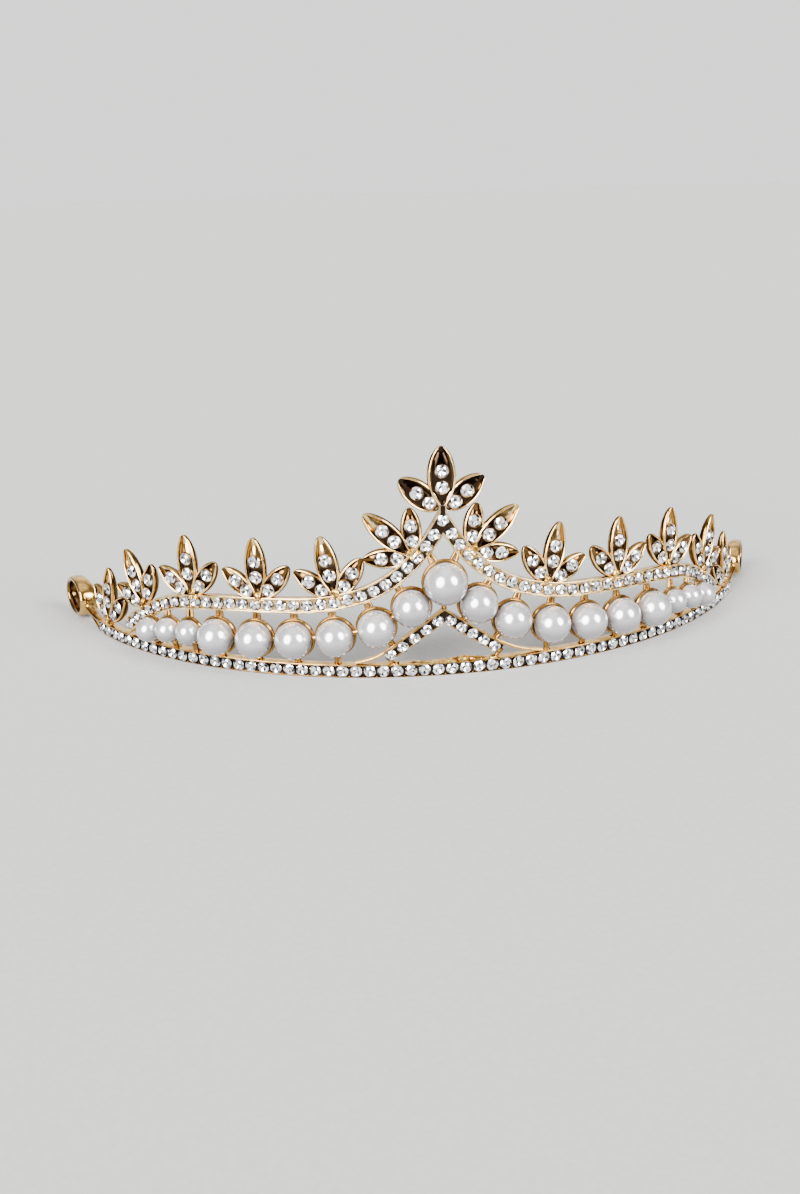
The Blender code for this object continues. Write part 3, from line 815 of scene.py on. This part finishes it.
def loop_rings(side, sign):
    """Cross-sections of an oval ribbon loop, whose painted shade is deeper on its inner face."""
    a = (LOOP_LENGTH - LOOP_THICKNESS) / 2
    b = (LOOP_HEIGHTS[side] - LOOP_THICKNESS) / 2
    middle = Vector((sign * (BAND_END + GAP + LOOP_LENGTH / 2), LOOP_RISE + LOOP_HEIGHTS[side] / 2))
    rings = []
    for i in range(LOOP_STATIONS):
        t = 2 * math.pi * i / LOOP_STATIONS
        p = middle + Vector((a * math.cos(t), b * math.sin(t)))
        normal = Vector((b * math.cos(t), a * math.sin(t))).normalized()
        seen = t if sign > 0 else math.pi - t
        swell = 1 + LOOP_SWELL * math.cos(seen - LOOP_SWELL_AT)
        ring = []
        for j in range(20):
            v = 2 * math.pi * j / 20
            through = LOOP_THICKNESS / 2 * squarer(math.cos(v), 0.8)
            across = LOOP_RIBBON / 2 * swell * squarer(math.sin(v), 0.7)
            q = p + normal * through
            tone = LOOP_OUTER_TONE if through > 0 else LOOP_INNER_TONE
            ring.append((Vector((q.x, q.y, LOOP_OUT + across)), tone))
        rings.append(ring)
    return rings


def neck_rings(sign):
    """Cross-sections of the neck that runs from the band into a loop."""
    route = smooth_route([(sign * x, y) for x, y in NECK_ROUTE], 8)
    rings = []
    for i, p in enumerate(route):
        across = across_at(route, i)
        u = i / (len(route) - 1)
        high = NECK_HIGH[0] * (1 - u) + NECK_HIGH[1] * u
        deep = NECK_DEEP[0] * (1 - u) + NECK_DEEP[1] * u
        out = NECK_OUT * (1 - u) + LOOP_OUT * u
        ring = []
        for j in range(16):
            v = 2 * math.pi * j / 16
            q = p + across * high * math.cos(v)
            ring.append((Vector((q.x, q.y, out + deep * math.sin(v))), NECK_TONE))
        rings.append(ring)
    return rings


def make_loops():
    for side, sign in SIDES:
        shape = Shape()
        shape.loft(bent(loop_rings(side, sign)), closed=True)
        shape.loft(bent(neck_rings(sign)))
        piece("ribbon_loop_" + side, shape, GOLD, ("end_loop_" + side,))


# ---------------------------------------------------------------- rail and chevron

def halved(rings, tone_at=lambda x, tone: tone):
    """A shape from flat rings: its part at x > 0 and that part's mirror image, bent."""
    flat = Shape()
    flat.loft(rings)
    mesh = flat.mesh
    bmesh.ops.bisect_plane(
        mesh, geom=mesh.verts[:] + mesh.edges[:] + mesh.faces[:], dist=1e-7,
        plane_co=(0, 0, 0), plane_no=(1, 0, 0), clear_inner=True)
    made = bmesh.ops.duplicate(mesh, geom=mesh.verts[:] + mesh.edges[:] + mesh.faces[:])
    for item in made["geom"]:
        if isinstance(item, bmesh.types.BMVert):
            item.co.x = -item.co.x
    bmesh.ops.remove_doubles(mesh, verts=mesh.verts, dist=1e-6)
    for vert in mesh.verts:
        vert[flat.tone] = tone_at(vert.co.x, vert[flat.tone])
        vert.co = place(*vert.co)
    return flat


def rail_tone(x, tone):
    """The rail's floor has painted shade near the apex and little along the swags."""
    if tone < 0.7:
        return tone
    start, end = RAIL_PAINTED_SHADE_FADE["left" if x < 0 else "right"]
    return 1.0 - 0.92 * smooth_step(start, end, abs(x))


def make_rail():
    # Painted shade deepens the channel floor and the back, and the lips stay bright; the apex
    # neck's floor has it too.
    section = channel(RAIL_WIDTH, -RAIL_DEPTH, 0.0, RAIL_LIP, RAIL_FLOOR, 0.0, 1.0)
    shape = halved(flat_sweep(RAIL, section), rail_tone)
    neck = channel(APEX_NECK_WIDTH, -RAIL_DEPTH, APEX_NECK_FRONT, APEX_NECK_LIP, APEX_NECK_FLOOR,
                   0.0, 1.0, 0.00008)
    neck_route = [Vector((0.0, z)) for z in APEX_NECK]
    shape.loft(bent(flat_sweep(neck_route, neck)))
    piece("swag_rail_casting", shape, GOLD, ("swag_rail",))
    first = lengths(RAIL)[RAIL_STEPS] + FIRST_RAIL_STONE
    last = lengths(RAIL)[-1] - LAST_RAIL_STONE
    pitch = (last - first) / (RAIL_STONES - 1)
    distances = [first + i * pitch for i in range(RAIL_STONES)]
    for side, sign in SIDES:
        route = flipped(RAIL, sign)
        stone_row("swag_crystals_" + side, route, distances, ROW_STONE / 2, RAIL_STONE_OUT,
                  "swag_stones_" + side)
    shape = Shape()
    cut_stone(shape, standing(0.0, APEX_HEIGHT, RAIL_STONE_OUT), ROW_STONE / 2)
    piece("apex_crystal", shape, CRYSTAL, ("apex_stone",), smooth=False)


def make_tail(shape, side, sign):
    """The wire that runs on from a foot of the chevron, down to the band, with painted shade,
    deeper on its back than on its front.
    """
    half = TAIL_WIDTH / 2
    ribbon = rounded((
        (-half, TAIL_BACK, 0.3), (half, TAIL_BACK, 0.3), (half, TAIL_FRONT, 0.15),
        (-half, TAIL_FRONT, 0.15)), 0.00015, 4)
    start = TAIL_ROUTE[0][0]
    squeezed = [(start + (x - start) * TAIL_REACH[side], y) for x, y in TAIL_ROUTE]
    tail = flipped(smooth_route(squeezed, 8), sign)
    shape.loft(bent(flat_sweep(tail, ribbon)))


def make_chevron():
    apex, foot = CHEVRON
    arm_length = (foot - apex).length
    direction = (foot - apex).normalized()
    start = apex - direction * CHEVRON_WIDTH
    reach = (foot - start).length
    route = [start + direction * reach * i / CHEVRON_STATIONS for i in range(CHEVRON_STATIONS + 1)]
    # Painted shade deepens the channel floor and the back, and a little the lips.
    section = channel(CHEVRON_WIDTH, -RAIL_DEPTH, 0.0, CHEVRON_LIP, CHEVRON_FLOOR,
                      CHEVRON_LIP_TONE, 1.0)
    shape = halved(flat_sweep(route, section))
    for side, sign in SIDES:
        make_tail(shape, side, sign)
        shape.rod(place(sign * foot.x, foot.y, -0.0007),
                  place(sign * (foot.x - POST_LEAN), BAND_HEIGHT, -0.0009), *POST_RADII)
    piece("chevron_casting", shape, GOLD, ("chevron",))
    for side, sign in SIDES:
        arm = [p - Vector((0.0, CHEVRON_STONE_DROP)) for p in flipped(CHEVRON, sign)]
        last = arm_length - LAST_CHEVRON_STONES[side]
        pitch = (last - FIRST_CHEVRON_STONE) / (CHEVRON_STONES - 1)
        distances = [FIRST_CHEVRON_STONE + i * pitch for i in range(CHEVRON_STONES)]
        stone_row("chevron_crystals_" + side, arm, distances, CHEVRON_STONE / 2, 0.0,
                  "chevron_stones_" + side)


# ---------------------------------------------------------------- pearls

def side_pearls(sign):
    """Place, height, diameter and outward place of one side's nine pearls."""
    pearls = [(sign * s, height, *LARGE_PEARL) for s, height in LARGE_PEARLS]
    return pearls + [(sign * s, height, *SMALL_PEARL) for s, height in SMALL_PEARLS]


def make_pearl(name, node, s, height, diameter, out):
    """A smooth ball whose tone, which sets its painted shade, runs from 0 at its top to 1 at its
    bottom.
    """
    radius = diameter / 2
    profile = [(0.0, -radius)]
    for i in range(1, PEARL_RINGS):
        a = math.pi * i / PEARL_RINGS
        profile.append((radius * math.sin(a), -radius * math.cos(a)))
    profile.append((0.0, radius))
    shape = Shape()
    shape.revolve(profile, standing(s, height, out), PEARL_STEPS)
    for vert in shape.mesh.verts:
        vert[shape.tone] = 0.5 - (vert.co.z - height) / diameter
    piece(name, shape, PEARL, (node,), angle=60)


def seat(shape, diameter, s, height, out):
    """A bowl behind a pearl, whose rim shows past it as a thin crescent; it carries painted shade
    all over.
    """
    r = diameter / 2
    fit = r + SEAT_GAP
    lip = math.asin(SEAT_LIP)
    rim = fit * math.cos(lip)
    rim_out = -fit * math.sin(lip)
    profile = [(0, -1.17 * r), (0.45 * r, -1.13 * r), (0.80 * r, -0.94 * r)]
    profile += [(rim + 0.00026, rim_out - 0.32 * r), (rim + SEAT_RIM, rim_out - 0.0004)]
    profile += [(rim + SEAT_RIM, rim_out), (rim + SEAT_RIM * 0.75, rim_out + 0.00017)]
    profile += [(rim + SEAT_RIM * 0.35, rim_out + 0.00018), (rim + 0.00003, rim_out + 0.00008)]
    for i in range(1, 8):
        a = (math.pi / 2 - lip) * (1 - i / 7)
        profile.append((fit * math.sin(a), -fit * math.cos(a)))
    profile[-1] = (0, profile[-1][1])
    shape.revolve(profile, standing(s, height, out), 48, SEAT_TONE)


def seat_point(centre, towards, diameter, out):
    """World point just inside a seat's rim, in the direction of another flat point."""
    p = centre + (towards - centre).normalized() * (diameter / 2 * 0.98 - 0.0002)
    return place(p.x, p.y, out - diameter / 2 * 0.30)


def stem(shape, centre, target, diameter, out, spread=STEM_SPREAD):
    """Two slim wires side by side, which splay where they meet the seat."""
    line = (target - centre).normalized()
    across = Vector((-line.y, line.x))
    for side in (-1, 1):
        foot = centre + line * (diameter / 2 * 0.96) + across * side * spread * SPLAY[0]
        top = target + across * side * spread * SPLAY[1]
        shape.rod(place(foot.x, foot.y, out - diameter / 2 * 0.62), place(top.x, top.y, STEM_OUT),
                  *STEM_RADII)


def link(shape, start, end, radius):
    """A short rod that slims a little towards its end."""
    shape.rod(start, end, radius, radius * LINK_TAPER)


def make_seats(side, sign):
    """One side's seats, with a stem up to the rail, a post down and a link to the next seat."""
    rail = flipped(RAIL, sign)
    arm = flipped(CHEVRON, sign)
    chevron = [arm[0].lerp(arm[1], i / 80) for i in range(81)]
    shape = Shape()
    last = None
    for i, (s, height, diameter, out) in enumerate(side_pearls(sign)):
        centre = Vector((s, height))
        seat(shape, diameter, s, height, out)
        stem(shape, centre, nearest(rail, centre), diameter, out)
        if i < 2:
            foot = nearest(chevron, centre)
            foot = foot + (centre - foot).normalized() * 0.0008
        else:
            foot = Vector((s, BAND_HEIGHT - 0.0004))
        stem(shape, centre, foot, diameter, out, POST_SPREAD)
        if last:
            last_centre, last_diameter, last_out = last
            link(shape, seat_point(last_centre, centre, last_diameter, last_out),
                 seat_point(centre, last_centre, diameter, out), LINK_RADIUS)
        last = (centre, diameter, out)
    link(shape, seat_point(centre, centre + Vector((sign, -0.25)), diameter, out),
         place(s + sign * 0.0048, height - 0.0006, -0.0006), END_LINK_RADIUS)
    piece("pearl_seats_" + side, shape, GOLD, ("pearl_gallery_" + side,))


def make_centre_seat():
    """The middle pearl's seat, with two stems up to the rail and a post to the chevron."""
    diameter, height, out = CENTRE_PEARL
    centre = Vector((0.0, height))
    shape = Shape()
    seat(shape, diameter, 0.0, height, out)
    for sign in (-1, 1):
        top = Vector((sign * CENTRE_STEM_TOPS[0], CENTRE_STEM_TOPS[1]))
        stem(shape, centre, top, diameter, out)
    foot = Vector((0.0, CHEVRON_APEX + 0.0012))
    stem(shape, centre, foot, diameter, out, CENTRE_POST_SPREAD)
    piece("centre_pearl_seat", shape, GOLD, ("centre_pearl_cup",))


def make_pearls():
    diameter, height, out = CENTRE_PEARL
    make_pearl("round_pearl_centre", "pearl_centre", 0.0, height, diameter, out)
    for side, sign in SIDES:
        for i, pearl in enumerate(side_pearls(sign), 1):
            make_pearl(f"round_pearl_{side}_{i}", f"pearl_{side}_{i}", *pearl)
        make_seats(side, sign)
    make_centre_seat()


# ---------------------------------------------------------------- leaves

def leaf(shape, matrix, length, width, painted_highlight, painted_highlight_from):
    """One boat-shaped leaf along +y: a raised rim round a hollow, with painted shade on the rim's
    walls, on its back and in the hollow.

    A painted highlight lightens the hollow towards the tip, by the given amount, beyond the given
    share of its length."""
    rings = []
    for i in range(LEAF_STATIONS + 1):
        u = (1 - math.cos(math.pi * i / LEAF_STATIONS)) / 2
        w = max(width / 2 * math.sin(math.pi * u ** LEAF_BELLY) ** LEAF_FULLNESS, 0.00012)
        y = LEAF_START + (length - LEAF_START) * u
        rim = min(LEAF_RIM, w * 0.48)
        inner = w - rim
        depth = LEAF_DEPTH * min(1.0, inner / 0.0009)
        lean = -LEAF_LEAN * u ** 2
        # painted shade of the hollow, lifted towards the tip by the painted highlight
        hollow_painted_shade = 1.0 - painted_highlight * smooth_step(painted_highlight_from, painted_highlight_from + PAINTED_HIGHLIGHT_SPAN, u)
        wall = LEAF_END_WALL + (1 - LEAF_END_WALL) * math.sin(math.pi * u) ** 0.7
        ring = [(-w * 0.80, LEAF_BACK * wall, 0.55)]
        for share, z, tone in LEAF_EDGE:
            ring.append((-w + rim * share, z * wall, tone))
        ring.append((-w + rim, -depth * 0.75, 0.35 + 0.35 * hollow_painted_shade))
        crown = LEAF_CROWN * min(1.0, inner / 0.0012) * math.sin(math.pi * u) ** 0.5
        for k in (-0.86, -0.62, -0.32, 0.0):
            z = -depth + crown * (1 - k * k)
            ring.append((inner * k, z, hollow_painted_shade + (1 - hollow_painted_shade) * 0.3 * abs(k) ** 2.5))
        ring += [(-x, z, tone) for x, z, tone in reversed(ring[:-1])]
        rings.append([(matrix @ Vector((x, y, z + lean)), tone) for x, z, tone in ring])
    shape.loft(rings)


def lean_at(distance, length):
    """How far outward a leaf's face lies at a distance from its foot."""
    u = (distance - LEAF_START) / (length - LEAF_START)
    return -LEAF_LEAN * u ** 2


def bezel(shape, matrix, radius):
    """The fine ring that a leaf's stone sits in, with painted shade."""
    rings = []
    for i in range(28):
        a = 2 * math.pi * i / 28
        ring = []
        for j in range(6):
            b = 2 * math.pi * j / 6
            r = radius + BEZEL_TUBE * math.cos(b)
            co = Vector((r * math.cos(a), r * math.sin(a), BEZEL_TUBE * math.sin(b)))
            ring.append((matrix @ co, BEZEL_TONE))
        rings.append(ring)
    shape.loft(rings, closed=True)


def make_trio(name, s, height, angles, middle, side_leaf, painted_highlight, painted_highlight_from):
    """A sprig of three leaves and, as a second piece, its six stones."""
    shape = Shape()
    stones = Shape()
    base = standing(s, height, 0.0)
    side_painted_highlight = painted_highlight * SIDE_PAINTED_HIGHLIGHT
    leaves = (
        (angles[0], side_leaf, SIDE_STONES, side_painted_highlight, SIDE_LEAF_OUT, SIDE_LEAF_DROP),
        (angles[2], side_leaf, SIDE_STONES, side_painted_highlight, SIDE_LEAF_OUT, SIDE_LEAF_DROP),
        (angles[1], middle, MIDDLE_STONES, painted_highlight, 0.0, 0.0),
    )
    middle_turn = Matrix.Rotation(-math.radians(angles[1]), 4, "Z")
    for angle, (length, width), places, leaf_painted_highlight, out, drop in leaves:
        shift = middle_turn @ Vector((0, -drop, out))
        matrix = base @ Matrix.Translation(shift) @ Matrix.Rotation(-math.radians(angle), 4, "Z")
        leaf(shape, matrix, length, width, leaf_painted_highlight, painted_highlight_from)
        for distance in places:
            out_here = lean_at(distance, length) + LEAF_STONE_SINK
            seat_at = matrix @ Matrix.Translation((0, distance, out_here))
            bezel(shape, seat_at, LEAF_STONE / 2 + 0.00003)
            cut_stone(stones, seat_at @ Matrix.Translation((0, 0, 0.00012)), LEAF_STONE / 2)
    piece("leaf_sprig_" + name, shape, GOLD, ("leaf_trio_" + name,))
    piece("leaf_crystals_" + name, stones, CRYSTAL, (), smooth=False)


def make_trios():
    make_trio("centre", 0.0, CENTRE_TRIO_BASE, CENTRE_TRIO_ANGLES, CENTRE_MIDDLE_LEAF,
              CENTRE_SIDE_LEAF, 0.0, LOW_PAINTED_HIGHLIGHT)
    for side, sign in SIDES:
        for name, s, height, angles in TRIOS:
            out, up, turns = SPRIG_CHANGES[name + "_" + side]
            own = angles if sign > 0 else [-a for a in reversed(angles)]
            turned = [a + turn for a, turn in zip(own, turns)]
            painted_highlight_from = LOW_PAINTED_HIGHLIGHT if name in LOW_PAINTED_HIGHLIGHT_SPRIGS else HIGH_PAINTED_HIGHLIGHT
            make_trio(name + "_" + side, sign * (s + out), height + up, turned, MIDDLE_LEAF,
                      SIDE_LEAF, 1.0, painted_highlight_from)


def cast_ridge(shape):
    """The low, rough ridge of the casting on the band's upper face, under the chevron."""
    start, end = RIDGE_ENDS
    peak, length, height = RIDGE_PEAK
    rings = []
    for i in range(RIDGE_STATIONS + 1):
        s = start + (end - start) * i / RIDGE_STATIONS
        rough = noise.noise(Vector((s * 1100, 5.0, 0.0)))
        rise = RIDGE_RISE + height * math.exp(-((s - peak) / length) ** 2)
        rise += RIDGE_ROUGHNESS * rough
        taper = min(1.0, (i + 0.5) / 9, (RIDGE_STATIONS + 0.5 - i) / 9)
        ring = []
        for j in range(12):
            v = 2 * math.pi * j / 12
            grit = 1 + 0.18 * noise.noise(Vector((s * 1800, 3 * math.cos(v), 3 * math.sin(v))))
            out = RIDGE_OUT + RIDGE_DEPTH * taper * grit * math.cos(v)
            high = BAND_HEIGHT - 0.00015 + (rise + 0.00012) * taper * grit * math.sin(v)
            stain = noise.noise(Vector((s * 600, out * 900, 9.0)))
            tone = min(1.0, max(0.0, 0.45 + 1.3 * stain))
            ring.append((Vector((s, high, out)), tone))
        rings.append(ring)
    shape.loft(bent(rings))


def sprig_solder(shape, sign):
    """Lumps at the foot of each sprig on one side."""
    for _, s, height, angles in TRIOS:
        foot = Vector((sign * s, height))
        turn = math.radians(angles[1])
        up = Vector((math.sin(turn) * sign, math.cos(turn)))
        for k, (along_it, aside, size) in enumerate(SPRIG_LUMPS):
            q = foot + up * along_it + Vector((up.y, -up.x)) * aside
            seed = s * 1000 + k * 3 + sign
            shape.blob(place(q.x, q.y, -0.00035), size, seed, 1.0, SPRIG_LUMP_TONE)


def make_solder():
    """Solder under each sprig, at the posts and the chevron, and the band's rough ridge."""
    shape = Shape()
    for sign in (-1, 1):
        sprig_solder(shape, sign)
        for i, (s, _) in enumerate((LARGE_PEARLS + SMALL_PEARLS)[2:]):
            where = place(sign * s, BAND_HEIGHT - 0.0001, -0.0011)
            shape.blob(where, POST_LUMP, i * 5 + sign, 0.5, 1.0)
        for s, height in CHEVRON_LUMPS:
            where = place(sign * s, height, -0.0006)
            shape.blob(where, CHEVRON_LUMP, s * 1500 + sign, 0.7)
        where = place(sign * FOOT_LUMP_AT, BAND_HEIGHT + 0.0001, -0.0007)
        shape.blob(where, FOOT_LUMP, sign * 4, 0.5)
    cast_ridge(shape)
    piece("solder_joints", shape, SOLDER)


# ---------------------------------------------------------------- stage

def make_floor():
    """A wide pale floor under the tiara."""
    bpy.ops.mesh.primitive_circle_add(vertices=96, radius=6.0, fill_type="NGON")
    floor = bpy.context.object
    floor.name = "floor"
    material, tree, shader = node_material("pale_floor")
    fine = noise_texture(tree, 900, 4)
    colour = ramp(tree, fine, ((0.3, (0.40, 0.40, 0.395)), (0.7, (0.44, 0.44, 0.435))))
    fill(tree, shader, {"Base Color": colour, "Roughness": 1.0, "Specular IOR Level": 0.0})
    floor.data.materials.append(material)


def panel(tree, direction, azimuth, elevation, tall, core, edge, level):
    """Brightness of a soft-edged panel in the sky, as a value for each direction."""
    a, e = math.radians(azimuth), math.radians(elevation)
    centre = (math.sin(a) * math.cos(e), -math.cos(a) * math.cos(e), math.sin(e))
    kind = "ShaderNodeVectorMath"
    away = added(tree, kind, {0: direction, 1: centre}, "Vector", operation="SUBTRACT")
    flat = {0: away, 1: (1.0, 1.0, 1 / tall)}
    squashed = added(tree, kind, flat, "Vector", operation="MULTIPLY")
    distance = added(tree, kind, {0: squashed}, "Value", operation="LENGTH")
    inputs = {"Value": distance, "From Min": core, "From Max": edge, "To Min": level, "To Max": 0.0}
    return added(tree, "ShaderNodeMapRange", inputs, "Result", interpolation_type="SMOOTHSTEP")


def make_light():
    """Two tall softboxes in front, a weak one behind, a dim sky and a soft light overhead.

    The camera itself sees a plain backdrop in place of the sky."""
    world = bpy.data.worlds.new("studio")
    bpy.context.scene.world = world
    world.use_nodes = True
    tree = world.node_tree
    direction = added(tree, "ShaderNodeTexCoord", {}, "Generated")
    height = added(tree, "ShaderNodeSeparateXYZ", {"Vector": direction}, "Z")
    lit = ramp(tree, height, [(z, (grey, grey, grey)) for z, grey in SKY])
    for values in PANELS:
        shone = panel(tree, direction, *values)
        lit = added(tree, "ShaderNodeMath", {0: lit, 1: shone}, "Value", operation="ADD")
    seen = added(tree, "ShaderNodeLightPath", {}, "Is Camera Ray")
    level = added(tree, "ShaderNodeMix", {0: seen, 2: lit, 3: BACKDROP}, 0)
    fill(tree, tree.nodes["Background"], {"Color": (1.0, 0.995, 0.985, 1.0), "Strength": level})
    data = bpy.data.lights.new("overhead", "SUN")
    data.energy = OVERHEAD
    data.angle = OVERHEAD_SPREAD
    light = bpy.data.objects.new("overhead", data)
    light.location = (0, 0, 2)
    bpy.context.scene.collection.objects.link(light)


def make_camera():
    """The camera, aimed beside and above the middle of the band's front."""
    back = Vector((math.sin(CAMERA_AZIMUTH) * math.cos(CAMERA_ELEVATION),
                   -math.cos(CAMERA_AZIMUTH) * math.cos(CAMERA_ELEVATION),
                   math.sin(CAMERA_ELEVATION)))
    right = (-back).cross(Vector((0, 0, 1))).normalized()
    up = back.cross(right)
    target = right * CAMERA_RIGHT + up * CAMERA_UP - Vector((0, DEPTH_CENTRE, 0))
    rolled = right * math.cos(CAMERA_ROLL) + up * math.sin(CAMERA_ROLL)
    rolled_up = back.cross(rolled)
    data = bpy.data.cameras.new("camera")
    data.lens = LENS
    camera = bpy.data.objects.new("camera", data)
    matrix = Matrix((rolled, rolled_up, back)).transposed().to_4x4()
    matrix.translation = target + back * CAMERA_DISTANCE
    camera.matrix_world = matrix
    bpy.context.scene.collection.objects.link(camera)
    bpy.context.scene.camera = camera


make_camera()
make_floor()
make_light()
make_band()
make_loops()
make_rail()
make_chevron()
make_pearls()
make_trios()
make_solder()
